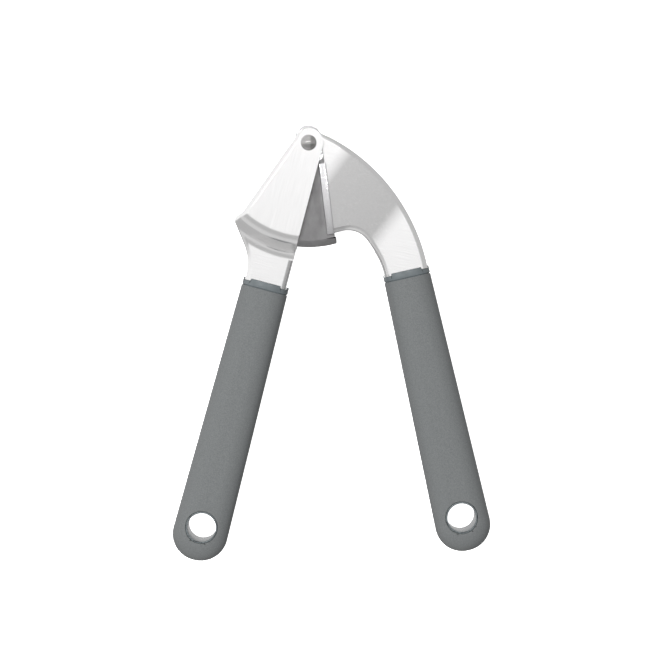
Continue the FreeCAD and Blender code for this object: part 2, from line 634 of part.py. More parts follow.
def hubParts():
    bore = "pinRadius + runningGap"
    end = "armHalf - gauge"
    sleeve = turnedBody("SpacerSleeve", square(bore, f"{bore} + sleeveWall", f"-({end})", end))
    finish(sleeve, "spacer_sleeve", "armAngle")
    low, high = "armHalf", "armHalf + washerGauge"
    for name, label, section in (
            ("NearWasher", "near_washer", square(bore, "washerRadius", low, high)),
            ("FarWasher", "far_washer", square(bore, "washerRadius", f"-({high})", f"-({low})"))):
        finish(turnedBody(name, section), label, "armAngle")


# ---- grips: hard core with collar and hang-hole liner, and the soft sleeve around it ----

# Rounded bar along the grip, from one distance below the grip's top to its end, inset all round.
def gripForm(name, centre, inset, top, edgeRound):
    end = f"-(gripTop + gripLength - ({inset}))"
    topHalf, endHalf = f"gripTopHalf - ({inset})", f"gripEndHalf - ({inset})"
    corners = [(f"{centre} - ({topHalf})", top, "0"),
               (f"{centre} - ({endHalf})", end, f"gripEndRound - ({inset})"),
               (f"{centre} + ({endHalf})", end, f"gripEndRound - ({inset})"),
               (f"{centre} + ({topHalf})", top, "0")]
    body = document.addObject("PartDesign::Body", name)
    pad = body.newObject("PartDesign::Pad", name + "Pad")
    pad.Profile = drawOutline(bodySketch(body, name + "Outline"), corners)
    pad.SideType = "Symmetric"
    bind(pad, Length=f"gripThickness - 2 * ({inset})")
    document.recompute()
    flat = number(top)
    edges = [f"Edge{i}" for i, edge in enumerate(pad.Shape.Edges, start=1)
             if edge.BoundBox.ZLength < 1e-6 and edge.BoundBox.YMin < flat - 1e-6]
    rounded = body.newObject("PartDesign::Fillet", name + "Rounded")
    rounded.Base = (pad, edges)
    bind(rounded, Radius=edgeRound)
    return body


# A neck stands in a pocket of its collar, from one side of the neck to the other.
def grip(prefix, label, centre, angle, neckSides):
    collarEnd = "-(gripTop + collarLength)"
    wide = f"{centre} - gripThickness", f"{centre} + gripThickness"
    full = gripForm(prefix + "Form", centre, "0", "-gripTop", "gripEdgeRound")
    inner = gripForm(prefix + "InnerForm", centre, "skinThickness", collarEnd, "coreEdgeRound")
    hangPlace = centre, "-(gripTop + hangReach)"
    half = "gripThickness / 2"
    liner = cylinder(prefix + "Liner", "linerRadius", half, *hangPlace)
    collar = combine("Common", prefix + "Collar", full,
                     block(prefix + "CollarBox", *wide, collarEnd, "-gripTop", "gripThickness"))
    cavity = combine("Fuse", prefix + "Cavity", inner, liner)
    solid = combine("Fuse", prefix + "CoreSolid", collar, cavity)
    slot = block(prefix + "Slot", f"{centre} - tangHalf", f"{centre} + tangHalf",
                 "-(gripTop + tangLength)", "-gripTop + 1", "tangThickness / 2")
    pinPlace = centre, "-(gripTop + tangPinReach)"
    pocket = block(prefix + "Pocket", f"{neckSides[0]} - neckSeatGap", f"{neckSides[1]} + neckSeatGap",
                   neckEnd, "-gripTop + 1", "neckHalf + neckSeatGap")
    core = combine("Cut", prefix + "Core", solid, slot, pocket,
                   cylinder(prefix + "Hang", "hangRadius", "gripThickness", *hangPlace),
                   cylinder(prefix + "CorePinHole", "tangPinRadius", "tangPinHalf", *pinPlace))
    finish(core, label + "_grip_core", angle)
    sleeve = combine("Common", prefix + "SkinBlank", full,
                     block(prefix + "SkinBox", *wide, "-(gripTop + gripLength + 1)",
                           f"{collarEnd} - collarGroove", "gripThickness"))
    finish(combine("Cut", prefix + "Skin", sleeve, cavity), label + "_grip_skin", angle)
    tangPin = turnedBody(prefix + "TangPin", square("0", "tangPinRadius", "-tangPinHalf", "tangPinHalf"),
                         pinPlace)
    finish(tangPin, label + "_tang_pin", angle)


frameShell()
pivotPin()
pinCap()
basket()
sievePlate()
armShell()
plunger()
plungerPins()
hubParts()
grip("Lower", "lower", "frameGripOffset", "frameAngle", ("-frameNeckOuter", "frameNeckInner"))
grip("Upper", "upper", "armGripOffset", "armAngle",
     ("armGripOffset - armNeckHalf", "armGripOffset + armNeckHalf"))
document.recompute()

# The part's origin is the middle of its box's underside at rest.
overall = FreeCAD.BoundBox()
for thing in subparts:
    overall.add(thing.Shape.optimalBoundingBox(False))
pivotPlace = (-overall.Center.x, -overall.Center.y, -overall.ZMin)
for cell, place in zip(pivotCells.values(), pivotPlace):
    sheet.set(cell, f"{place:.6f}")
document.recompute()

for thing in document.Objects:
    if "Invalid" in thing.State or "Error" in thing.State:
        sys.exit(f"{thing.Name} could not be computed: {thing.State}")
for thing in subparts:
    if thing.Shape.isNull() or not thing.Shape.isValid() or not thing.Shape.Solids:
        sys.exit(f"{thing.Label} has no sound shape")

os.makedirs("parts", exist_ok=True)
for thing in subparts:
    thing.Shape.exportStep(f"parts/{thing.Label}.step")
    print(thing.Label, f"{thing.Shape.Volume:.1f} mm3", len(thing.Shape.Solids))
print("pivot at", ", ".join(f"{place:.3f}" for place in pivotPlace))
print("box", f"{overall.XLength:.2f} x {overall.YLength:.2f} x {overall.ZLength:.2f}")
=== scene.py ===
import json
from math import atan2, cos, pi, radians, sin

import bmesh
import bpy
from mathutils import Matrix, Vector

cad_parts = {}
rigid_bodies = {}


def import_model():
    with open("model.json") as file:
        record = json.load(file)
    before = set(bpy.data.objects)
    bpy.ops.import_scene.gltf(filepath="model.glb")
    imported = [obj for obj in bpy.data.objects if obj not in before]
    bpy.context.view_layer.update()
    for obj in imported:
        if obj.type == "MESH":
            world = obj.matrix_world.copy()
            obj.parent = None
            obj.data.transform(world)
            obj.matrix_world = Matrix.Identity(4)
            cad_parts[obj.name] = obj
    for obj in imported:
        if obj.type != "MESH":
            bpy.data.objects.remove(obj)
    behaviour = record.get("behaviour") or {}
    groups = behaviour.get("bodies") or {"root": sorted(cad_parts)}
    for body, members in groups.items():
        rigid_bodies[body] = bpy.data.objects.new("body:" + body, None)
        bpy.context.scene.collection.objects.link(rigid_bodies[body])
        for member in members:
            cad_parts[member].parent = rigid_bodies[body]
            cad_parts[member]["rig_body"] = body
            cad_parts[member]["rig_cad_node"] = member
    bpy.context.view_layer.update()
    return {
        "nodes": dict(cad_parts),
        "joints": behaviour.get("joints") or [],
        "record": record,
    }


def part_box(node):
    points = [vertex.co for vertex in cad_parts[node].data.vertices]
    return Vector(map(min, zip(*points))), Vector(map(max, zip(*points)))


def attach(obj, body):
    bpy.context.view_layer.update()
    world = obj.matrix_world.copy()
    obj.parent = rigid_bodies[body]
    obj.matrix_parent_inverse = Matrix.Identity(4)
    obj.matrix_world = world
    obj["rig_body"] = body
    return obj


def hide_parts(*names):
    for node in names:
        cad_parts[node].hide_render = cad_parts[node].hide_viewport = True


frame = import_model()
print("frame loaded with", len(frame["nodes"]), "nodes")

mm = 0.001
tiny = 1e-6
pivot = Vector(frame["joints"][0]["pos_m"])
mounts = {mount["name"]: mount for mount in frame["record"]["mounts"]}


def middleOf(node):
    low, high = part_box(node)
    return (low + high) / 2


def selectOnly(*pieces):
    bpy.ops.object.select_all(action="DESELECT")
    for piece in pieces:
        piece.select_set(True)
    bpy.context.view_layer.objects.active = pieces[0]


def named(name):
    piece = bpy.context.object
    piece.name = name
    piece.data.name = name
    return piece


# Edit mode on one piece; everything starts deselected.
def edit(piece):
    selectOnly(piece)
    bpy.ops.object.mode_set(mode="EDIT")
    bpy.ops.mesh.select_mode(type="EDGE")
    bpy.ops.mesh.select_all(action="DESELECT")


def doneEditing():
    bpy.ops.object.mode_set(mode="OBJECT")


# Picks faces or edges by place: the test gets the places of their corners.
def pick(kind, test):
    bpy.ops.mesh.select_mode(type=kind)
    bpy.ops.mesh.select_all(action="DESELECT")
    mesh = bmesh.from_edit_mesh(bpy.context.object.data)
    for part in mesh.faces if kind == "FACE" else mesh.edges:
        if test([corner.co for corner in part.verts]):
            part.select_set(True)
    bmesh.update_edit_mesh(bpy.context.object.data)


def rod(name, radius, depth, at=(0, 0, 0), sides=96):
    bpy.ops.object.select_all(action="DESELECT")
    bpy.ops.mesh.primitive_cylinder_add(vertices=sides, radius=radius, depth=depth, location=at)
    return named(name)


def slab(name, size, at=(0, 0, 0)):
    bpy.ops.object.select_all(action="DESELECT")
    bpy.ops.mesh.primitive_cube_add(size=1, location=at)
    bpy.context.object.scale = size
    bpy.ops.object.transform_apply(location=True, rotation=True, scale=True)
    return named(name)


# Cuts a piece with a tool, joins the tool on or keeps what they share, and throws the tool away.
def carve(piece, tool, how="DIFFERENCE"):
    selectOnly(piece)
    change = piece.modifiers.new("Carve", "BOOLEAN")
    change.object = tool
    change.operation = how
    change.solver = "EXACT"
    bpy.ops.object.modifier_apply(modifier="Carve")
    bpy.data.objects.remove(tool, do_unlink=True)


# Breaks the sharp edges and smooths what is left.
def softenEdges(piece, width, segments=2, sharp=35):
    selectOnly(piece)
    change = piece.modifiers.new("Edges", "BEVEL")
    change.width = width
    change.segments = segments
    change.limit_method = "ANGLE"
    change.angle_limit = radians(sharp)
    change.use_clamp_overlap = False
    bpy.ops.object.modifier_apply(modifier="Edges")
    bpy.ops.object.shade_smooth_by_angle(angle=radians(sharp))


# Flat faces keep their flat shading beside narrow blends.
def weighNormals(piece):
    selectOnly(piece)
    weigh = piece.modifiers.new("Weigh", "WEIGHTED_NORMAL")
    weigh.keep_sharp = True
    bpy.ops.object.modifier_apply(modifier="Weigh")


# Puts a piece where its grip or pin is, with its place in its mesh.
def settle(piece, place):
    selectOnly(piece)
    piece.matrix_world = place @ piece.matrix_world
    bpy.ops.object.transform_apply(location=True, rotation=True, scale=True)


def assign(piece, material):
    piece.data.materials.clear()
    piece.data.materials.append(material)


# A finished piece: it rides on its body, stands for its CAD node and has its finish.
def finishPiece(piece, body, node, material):
    assign(piece, material)
    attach(piece, body)
    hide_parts(node)
    print("  made", piece.name)
    return piece


def newMaterial(name):
    material = bpy.data.materials.new(name)
    material.use_nodes = True
    tree = material.node_tree
    shader = next(node for node in tree.nodes if node.type == "BSDF_PRINCIPLED")
    return material, tree, shader


# Noise on the piece's own coordinates, centred and turned, with its own scale along each axis.
def grain(tree, scale, turn=0, centre=(0, 0, 0), detail=4, roughness=0.6):
    place = tree.nodes.new("ShaderNodeTexCoord")
    mapping = tree.nodes.new("ShaderNodeMapping")
    mapping.vector_type = "TEXTURE"
    mapping.inputs["Location"].default_value = centre
    mapping.inputs["Rotation"].default_value = (0, 0, turn)
    mapping.inputs["Scale"].default_value = [1 / part for part in scale]
    noise = tree.nodes.new("ShaderNodeTexNoise")
    noise.inputs["Scale"].default_value = 1
    noise.inputs["Detail"].default_value = detail
    noise.inputs["Roughness"].default_value = roughness
    tree.links.new(place.outputs["Object"], mapping.inputs["Vector"])
    tree.links.new(mapping.outputs["Vector"], noise.inputs["Vector"])
    return noise.outputs["Fac"]


def spread(tree, value, low, high):
    ramp = tree.nodes.new("ShaderNodeMapRange")
    ramp.inputs["From Min"].default_value = 0.3
    ramp.inputs["From Max"].default_value = 0.7
    ramp.inputs["To Min"].default_value = low
    ramp.inputs["To Max"].default_value = high
    tree.links.new(value, ramp.inputs["Value"])
    return ramp.outputs["Result"]


def tint(tree, value, dark, light):
    mix = tree.nodes.new("ShaderNodeMix")
    mix.data_type = "RGBA"
    mix.inputs["A"].default_value = (*dark, 1)
    mix.inputs["B"].default_value = (*light, 1)
    tree.links.new(spread(tree, value, 0, 1), mix.inputs["Factor"])
    return mix.outputs["Result"]


def relief(tree, shader, height, strength, depth):
    bump = tree.nodes.new("ShaderNodeBump")
    bump.inputs["Strength"].default_value = strength
    bump.inputs["Distance"].default_value = depth
    tree.links.new(height, bump.inputs["Height"])
    tree.links.new(bump.outputs["Normal"], shader.inputs["Normal"])


# 1 where the piece is further than a limit from the pivot: all round, or along one axis only.
def beyond(tree, limit, along=(1, 1, 1)):
    place = tree.nodes.new("ShaderNodeTexCoord")
    part = tree.nodes.new("ShaderNodeVectorMath")
    part.operation = "MULTIPLY"
    part.inputs[1].default_value = along
    tree.links.new(place.outputs["Object"], part.inputs[0])
    reach = tree.nodes.new("ShaderNodeVectorMath")
    reach.operation = "DISTANCE"
    reach.inputs[1].default_value = [a * b for a, b in zip(pivot, along)]
    tree.links.new(part.outputs["Vector"], reach.inputs[0])
    over = tree.nodes.new("ShaderNodeMath")
    over.operation = "GREATER_THAN"
    over.inputs[1].default_value = limit
    tree.links.new(reach.outputs["Value"], over.inputs[0])
    return over.outputs["Value"]


# The first of two values or colours where the share is 0, and the second where it is 1.
def choose(tree, share, first, second, kind="FLOAT"):
    mix = tree.nodes.new("ShaderNodeMix")
    mix.data_type = kind
    ports = {"FLOAT": (2, 3, 0), "RGBA": (6, 7, 2)}[kind]
    tree.links.new(share, mix.inputs["Factor"])
    tree.links.new(first, mix.inputs[ports[0]])
    tree.links.new(second, mix.inputs[ports[1]])
    return mix.outputs[ports[2]]


steel = {
    "dark": (0.84, 0.835, 0.835), "light": (0.95, 0.945, 0.945),
    "smooth": 0.2, "rough": 0.28, "line": 9000, "length": 70,
    "strength": 0.1, "depth": 0.02 * mm,
}


# Stainless sheet with fine brush lines; beyond the neck's radius the lines can turn across it.
def brushedSteel(name, lineAngle, neckRadius=None):
    material, tree, shader = newMaterial(name)
    shader.inputs["Metallic"].default_value = 1
    shape = (steel["line"], steel["length"], steel["line"])
    lines = grain(tree, shape, turn=lineAngle, centre=pivot)
    if neckRadius:
        across = grain(tree, shape, turn=lineAngle + pi / 2, centre=pivot)
        lines = choose(tree, beyond(tree, neckRadius), lines, across)
    tree.links.new(tint(tree, lines, steel["dark"], steel["light"]), shader.inputs["Base Color"])
    tree.links.new(spread(tree, lines, steel["smooth"], steel["rough"]), shader.inputs["Roughness"])
    relief(tree, shader, lines, steel["strength"], steel["depth"])
    return material


def polishedSteel():
    material, tree, shader = newMaterial("Polished steel")
    shader.inputs["Metallic"].default_value = 1
    scuffs = grain(tree, (700, 700, 700), detail=6)
    tree.links.new(tint(tree, scuffs, (0.44, 0.43, 0.425), (0.52, 0.51, 0.505)), shader.inputs["Base Color"])
    tree.links.new(spread(tree, scuffs, 0.04, 0.08), shader.inputs["Roughness"])
    return material


def sieveSteel():
    material, tree, shader = newMaterial("Plain steel")
    shader.inputs["Metallic"].default_value = 1
    rolling = grain(tree, (500, 2500, 2500), detail=5)
    tree.links.new(tint(tree, rolling, (0.5, 0.5, 0.505), (0.66, 0.66, 0.66)), shader.inputs["Base Color"])
    tree.links.new(spread(tree, rolling, 0.28, 0.42), shader.inputs["Roughness"])
    return material


# The first colour pair is for the recessed faces below groundHeight: the casting's dull tone, darkened
# further as painted shade of the recesses.
cast = {
    "rawAndShade": ((0.29, 0.285, 0.29), (0.4, 0.395, 0.4)), "rawRough": (0.42, 0.55),
    "ground": ((0.58, 0.575, 0.585), (0.66, 0.655, 0.665)), "groundRough": (0.2, 0.28),
    "groundHeight": 14.5 * mm, "groundRadius": 8.6 * mm,
}


# Cast metal, light and smooth on its raised faces and round the pin; the recessed faces below them take a
# dull, darker colour that is partly the raw casting's skin and partly painted shade of the recesses.
def castMetal():
    material, tree, shader = newMaterial("Cast metal")
    shader.inputs["Metallic"].default_value = 1
    skin = grain(tree, (1500, 1500, 1500), detail=8, roughness=0.65)
    cloud = grain(tree, (140, 90, 140), detail=3)
    raised = beyond(tree, cast["groundHeight"], along=(0, 0, 1))
    far = beyond(tree, cast["groundRadius"], along=(1, 1, 0))
    near = tree.nodes.new("ShaderNodeMath")
    near.operation = "SUBTRACT"
    near.inputs[0].default_value = 1
    tree.links.new(far, near.inputs[1])
    ground = tree.nodes.new("ShaderNodeMath")
    ground.operation = "MAXIMUM"
    tree.links.new(raised, ground.inputs[0])
    tree.links.new(near.outputs["Value"], ground.inputs[1])
    share = ground.outputs["Value"]
    # The darker colour below groundHeight and away from the pin is painted shade of the recess as well as
    # the raw casting's dull skin.
    rawAndShadeColour, groundColour = tint(tree, cloud, *cast["rawAndShade"]), tint(tree, cloud, *cast["ground"])
    colour = choose(tree, share, rawAndShadeColour, groundColour, "RGBA")
    rawDull, groundDull = spread(tree, skin, *cast["rawRough"]), spread(tree, skin, *cast["groundRough"])
    dull = choose(tree, share, rawDull, groundDull)
    tree.links.new(colour, shader.inputs["Base Color"])
    tree.links.new(dull, shader.inputs["Roughness"])
    relief(tree, shader, skin, 0.08, 0.03 * mm)
    return material


softColour = {"dark": (0.07, 0.074, 0.075), "light": (0.1, 0.105, 0.106)}


def softGrip():
    material, tree, shader = newMaterial("Soft grip")
    fine = grain(tree, (2600, 2600, 2600), detail=3, roughness=0.5)
    cloud = grain(tree, (45, 45, 45), detail=2)
    tree.links.new(tint(tree, fine, softColour["dark"], softColour["light"]), shader.inputs["Base Color"])
    tree.links.new(spread(tree, cloud, 0.42, 0.48), shader.inputs["Roughness"])
    relief(tree, shader, fine, 0.3, 0.05 * mm)
    return material


def corePlastic():
    material, tree, shader = newMaterial("Core plastic")
    flow = grain(tree, (240, 240, 240), detail=3)
    tree.links.new(tint(tree, flow, (0.068, 0.078, 0.082), (0.084, 0.095, 0.1)), shader.inputs["Base Color"])
    tree.links.new(spread(tree, flow, 0.2, 0.27), shader.inputs["Roughness"])
    relief(tree, shader, flow, 0.08, 0.02 * mm)
    return material


def washerPlastic():
    material, tree, shader = newMaterial("Washer plastic")
    flow = grain(tree, (900, 900, 900), detail=3)
    tree.links.new(tint(tree, flow, (0.7, 0.69, 0.65), (0.78, 0.77, 0.73)), shader.inputs["Base Color"])
    tree.links.new(spread(tree, flow, 0.4, 0.5), shader.inputs["Roughness"])
    return material


lineAngles = {"frame": radians(-14.8), "arm": radians(78)}
neckStart = 47 * mm          # from the pivot, where the frame's brush lines turn across
finishes = {
    "frameSteel": brushedSteel("Brushed steel frame", lineAngles["frame"], neckRadius=neckStart),
    "armSteel": brushedSteel("Brushed steel arm", lineAngles["arm"]),
    "polished": polishedSteel(),
    "plain": sieveSteel(),
    "cast": castMetal(),
    "soft": softGrip(),
    "core": corePlastic(),
    "washer": washerPlastic(),
}
print("finishes ready")


# A copy of a CAD node, merged into whole faces, with its sharp edges rounded over.
def edged(node, name, width, segments=2, sharp=32):
    selectOnly(frame["nodes"][node])
    bpy.ops.object.duplicate()
    piece = named(name)
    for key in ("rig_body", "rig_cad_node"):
        del piece[key]
    piece.parent = None
    piece.data.materials.clear()
    edit(piece)
    bpy.ops.mesh.select_all(action="SELECT")
    bpy.ops.mesh.customdata_custom_splitnormals_clear()
    bpy.ops.mesh.remove_doubles(threshold=0.002 * mm)
    bpy.ops.mesh.dissolve_limited(angle_limit=radians(0.1))
    doneEditing()
    softenEdges(piece, width, segments, sharp)
    return piece


edgedPieces = (
    # node, piece, body, slot, finish, width of the broken edge, segments
    ("frame_shell", "FrameShell", "frame", "brushed_stainless", "frameSteel", 0.1 * mm, 2),
    ("arm_shell", "ArmShell", "arm", "brushed_stainless", "armSteel", 0.2 * mm, 2),
    ("basket", "Basket", "basket", "cast_metal", "cast", 0.3 * mm, 3),
    ("sieve_plate", "SievePlate", "basket", "sieve_steel", "plain", 0.08 * mm, 1),
    ("plunger", "Plunger", "arm", "cast_metal", "cast", 0.35 * mm, 3),
    ("plunger_pins", "PlungerPins", "arm", "sieve_steel", "plain", 0.2 * mm, 2),
    ("spacer_sleeve", "SpacerSleeve", "arm", "sieve_steel", "plain", 0.15 * mm, 2),
    ("near_washer", "NearWasher", "arm", "washer_plastic", "washer", 0.1 * mm, 2),
    ("far_washer", "FarWasher", "arm", "washer_plastic", "washer", 0.1 * mm, 2),
    ("lower_tang_pin", "LowerTangPin", "frame", "sieve_steel", "plain", 0.2 * mm, 2),
    ("upper_tang_pin", "UpperTangPin", "arm", "sieve_steel", "plain", 0.2 * mm, 2),
)
print("breaking the edges of the pieces")
for node, name, body, slotName, finish, width, segments in edgedPieces:
    piece = edged(node, name, width, segments)
    if slotName == "brushed_stainless":
        weighNormals(piece)
    finishPiece(piece, body, node, finishes[finish])


# The pivot pin has polished domes on a plain shank.
pinSize = {
    "dome": 3.3 * mm, "rise": 1.9 * mm, "shank": 2.5 * mm, "rim": 0.06 * mm,
    "spigot": 1.4 * mm, "spigotLength": 1.2 * mm, "rings": 14,
}
turnedCorner = 35            # degrees; sharper corners of a turned piece stay sharp


# Draws the picked end face out along z and narrows it, ring by ring, into a dome that closes.
def riseDome(rise, up):
    angles = [pi / 2 * ring / pinSize["rings"] for ring in range(pinSize["rings"] + 1)]
    for before, after in zip(angles[:-1], angles[1:]):
        narrow = max(cos(after) / cos(before), 0.02)
        lift = up * rise * (sin(after) - sin(before))
        bpy.ops.mesh.extrude_region_move(TRANSFORM_OT_translate={"value": (0, 0, lift)})
        bpy.ops.transform.resize(value=(narrow, narrow, 1))


# Steps the picked end face in or out to another radius, and draws it out from there.
def stepTo(ratio, length):
    bpy.ops.mesh.extrude_region_move(TRANSFORM_OT_translate={"value": (0, 0, 0)})
    bpy.ops.transform.resize(value=(ratio, ratio, 1))
    bpy.ops.mesh.extrude_region_move(TRANSFORM_OT_translate={"value": (0, 0, length)})


def pickEnd(up):
    pick("FACE", lambda corners: len(corners) > 4 and up * corners[0].z > 0)


def finishTurned(piece, node):
    settle(piece, Matrix.Translation(pivot))
    bpy.ops.object.shade_smooth_by_angle(angle=radians(turnedCorner))
    finishPiece(piece, "frame", node, finishes["polished"])


def pivotPin():
    low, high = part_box("pivot_pin")
    near = high.z - pinSize["rise"] - pivot.z              # outer faces of the frame's plates
    far = low.z + pinSize["spigotLength"] - pivot.z
    piece = rod("PivotPin", pinSize["shank"], near - far, at=(0, 0, (near + far) / 2))
    bpy.ops.object.transform_apply(location=True, rotation=True, scale=True)
    edit(piece)
    pickEnd(1)
    stepTo(pinSize["dome"] / pinSize["shank"], pinSize["rim"])
    riseDome(pinSize["rise"] - pinSize["rim"], 1)
    pickEnd(-1)
    stepTo(pinSize["spigot"] / pinSize["shank"], -pinSize["spigotLength"])
    doneEditing()
    finishTurned(piece, "pivot_pin")


def pinCap():
    low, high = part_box("pin_cap")
    face = high.z - pivot.z
    piece = rod("PinCap", pinSize["dome"], pinSize["rim"], at=(0, 0, face - pinSize["rim"] / 2))
    bpy.ops.object.transform_apply(location=True, rotation=True, scale=True)
    edit(piece)
    pick("FACE", lambda corners: len(corners) > 4 and corners[0].z < face - pinSize["rim"] / 2)
    riseDome(high.z - low.z - pinSize["rim"], -1)
    doneEditing()
    holeDepth = 2 * pinSize["spigotLength"]
    carve(piece, rod("SpigotHole", pinSize["spigot"], holeDepth, at=(0, 0, face), sides=64))
    finishTurned(piece, "pin_cap")


print("pivot pin")
pivotPin()
pinCap()


# A grip is a hard core with a collar and a liner, and a soft sleeve over it.
gripSize = {
    "length": 122.5 * mm, "topHalf": 9.95 * mm, "endHalf": 12 * mm, "endRound": 11.7 * mm,
    "spare": 12 * mm, "crownReach": 9.5 * mm, "crownPower": 2.4, "crownRings": 16, "ring": 4 * mm,
    "collar": 3 * mm, "groove": 0.35 * mm, "grooveDepth": 0.45 * mm, "shoulder": 1.2 * mm,
    "skin": 2.2 * mm, "liner": 6.8 * mm, "linerGap": 0.1 * mm, "fit": 0.02 * mm,
    "pinReach": 19 * mm, "tangHalf": 6 * mm, "tangThickness": 3 * mm, "tangLength": 31 * mm,
    "tangPin": 1.5 * mm, "tangPinHalf": 5 * mm,
    "neckHalf": 6 * mm, "neckSeat": 1 * mm, "neckGap": 0.25 * mm,
    "coreEdge": 0.22 * mm, "skinEdge": 0.2 * mm,
}
neckSides = {"lower": (-9.1 * mm, 8.7 * mm), "upper": (-9.3 * mm, 9.3 * mm)}
holeRadius = mounts["lower_hang_hole"]["dims"]["r_mm"] * mm
gripThickness = mounts["lower_hang_hole"]["dims"]["length_mm"] * mm
holeSides = 128
gripCorner = 40              # degrees; sharper corners of a grip are rounded


# Where a grip's top is, with the grip running along -y from there, and how far its hole is.
def gripPlace(label):
    pin = middleOf(label + "_tang_pin")
    hole = Vector(mounts[label + "_hang_hole"]["pos_m"])
    down = (hole - pin).normalized()
    top = pin - down * gripSize["pinReach"]
    place = Matrix.Translation(top) @ Matrix.Rotation(atan2(down.x, -down.y), 4, "Z")
    return place, (hole - top).length


# Closed bar with a crowned section, all of it inset by so much: its flat outline is raised ring by
# ring to the crown and mirrored. It starts well above the grip's top, where it is trimmed later.
def gripBar(name, inset=0):
    start, end = gripSize["spare"], inset - gripSize["length"]
    taper = (gripSize["endHalf"] - gripSize["topHalf"]) / gripSize["length"]
    startHalf, endHalf = gripSize["topHalf"] - taper * start - inset, gripSize["endHalf"] - inset
    bpy.ops.object.select_all(action="DESELECT")
    bpy.ops.mesh.primitive_plane_add(size=1, location=(0, (start + end) / 2, 0))
    bpy.context.object.scale = (2 * endHalf, start - end, 1)
    bpy.ops.object.transform_apply(location=True, rotation=True, scale=True)
    piece = named(name)
    edit(piece)
    pick("EDGE", lambda corners: all(corner.y > start - tiny for corner in corners))
    bpy.ops.transform.resize(value=(startHalf / endHalf, 1, 1))
    pick("EDGE", lambda corners: all(corner.y < end + tiny for corner in corners))
    bpy.ops.mesh.bevel(offset=gripSize["endRound"] - inset, segments=26, affect="VERTICES")
    bpy.ops.mesh.select_mode(type="FACE")
    bpy.ops.mesh.select_all(action="SELECT")
    share = 2 / gripSize["crownPower"]
    reach, rise = gripSize["crownReach"] - inset, gripThickness / 2 - inset
    angles = [radians(88) * ring / gripSize["crownRings"] for ring in range(gripSize["crownRings"] + 1)]
    rings = [(reach * (1 - cos(angle) ** share), rise * sin(angle) ** share) for angle in angles]
    for (widthBefore, riseBefore), (width, height) in zip(rings[:-1], rings[1:]):
        bpy.ops.mesh.inset(thickness=width - widthBefore, depth=height - riseBefore)
    doneEditing()
    half = piece.modifiers.new("Half", "MIRROR")
    half.use_axis = (False, False, True)
    half.merge_threshold = tiny
    bpy.ops.object.modifier_apply(modifier="Half")
    edit(piece)
    bpy.ops.mesh.select_all(action="SELECT")
    bpy.ops.mesh.normals_make_consistent(inside=False)
    place = -gripSize["ring"]
    while place > end + gripSize["ring"]:                  # rings across keep the faces short
        bpy.ops.mesh.select_all(action="SELECT")
        bpy.ops.mesh.bisect(plane_co=(0, place, 0), plane_no=(0, 1, 0))
        place -= gripSize["ring"]
    doneEditing()
    return piece


# Keeps what is between two places along a bar; without the second, all below the first.
def trimmed(piece, top, bottom=None):
    edit(piece)
    for place, clearAbove in ((top, True), (bottom, False)):
        if place is not None:
            bpy.ops.mesh.select_all(action="SELECT")
            bpy.ops.mesh.bisect(plane_co=(0, place, 0), plane_no=(0, 1, 0), use_fill=True,
                                clear_outer=clearAbove, clear_inner=not clearAbove)
    doneEditing()
    return piece


# The bare collar goes on as a thinner shoulder, which the groove shows and the sleeve slides over.
def shoulder(inset):
    bottom = -gripSize["collar"] - gripSize["shoulder"]
    return trimmed(gripBar("Shoulder", inset), -gripSize["collar"] / 2, bottom)


# Ring that lines the hang hole, crowned like the grip.
def linerRing(reach):
    piece = rod("Liner", gripSize["liner"], 2 * gripThickness, at=(0, -reach, 0), sides=holeSides)
    bpy.ops.object.transform_apply(location=True, rotation=True, scale=True)
    carve(piece, rod("Hang", holeRadius, 3 * gripThickness, at=(0, -reach, 0), sides=holeSides))
    carve(piece, trimmed(gripBar("Crown"), 0), "INTERSECT")
    softenEdges(piece, gripSize["coreEdge"], 3, gripCorner)
    return piece


def gripCore(label, name, body, place, reach):
    piece = trimmed(gripBar(name, gripSize["skin"]), -gripSize["collar"] / 2)
    carve(piece, shoulder(gripSize["grooveDepth"]), "UNION")
    carve(piece, trimmed(gripBar("Collar"), 0, -gripSize["collar"]), "UNION")
    left, right = neckSides[label]
    gap, seat = gripSize["neckGap"], gripSize["neckSeat"]
    pocketSize = (right - left + 2 * gap, 2 * seat, 2 * (gripSize["neckHalf"] + gap))
    carve(piece, slab("Pocket", pocketSize, at=((left + right) / 2, 0, 0)))
    tangSize = (2 * gripSize["tangHalf"], 2 * gripSize["tangLength"], gripSize["tangThickness"])
    carve(piece, slab("Slot", tangSize))
    carve(piece, rod("PinHole", gripSize["tangPin"], 2 * gripSize["tangPinHalf"],
                     at=(0, -gripSize["pinReach"], 0), sides=48))
    carve(piece, rod("LinerSeat", gripSize["liner"], 2 * gripThickness, at=(0, -reach, 0), sides=holeSides))
    softenEdges(piece, gripSize["coreEdge"], 3, gripCorner)
    ring = linerRing(reach)
    selectOnly(piece, ring)
    bpy.ops.object.join()
    settle(piece, place)
    finishPiece(piece, body, label + "_grip_core", finishes["core"])


def gripSkin(label, name, body, place, reach):
    piece = trimmed(gripBar(name), -gripSize["collar"] - gripSize["groove"])
    inside = gripBar("Inside", gripSize["skin"] - gripSize["fit"])
    carve(piece, trimmed(inside, -gripSize["collar"] / 2))
    carve(piece, shoulder(gripSize["grooveDepth"] - gripSize["fit"]))
    carve(piece, rod("LinerSeat", gripSize["liner"] + gripSize["linerGap"], 2 * gripThickness,
                     at=(0, -reach, 0), sides=holeSides))
    softenEdges(piece, gripSize["skinEdge"], 3, gripCorner)
    settle(piece, place)
    finishPiece(piece, body, label + "_grip_skin", finishes["soft"])


print("grips")
for label, title, body in (("lower", "Lower", "frame"), ("upper", "Upper", "arm")):
    place, reach = gripPlace(label)
    gripCore(label, title + "GripCore", body, place, reach)
    gripSkin(label, title + "GripSkin", body, place, reach)


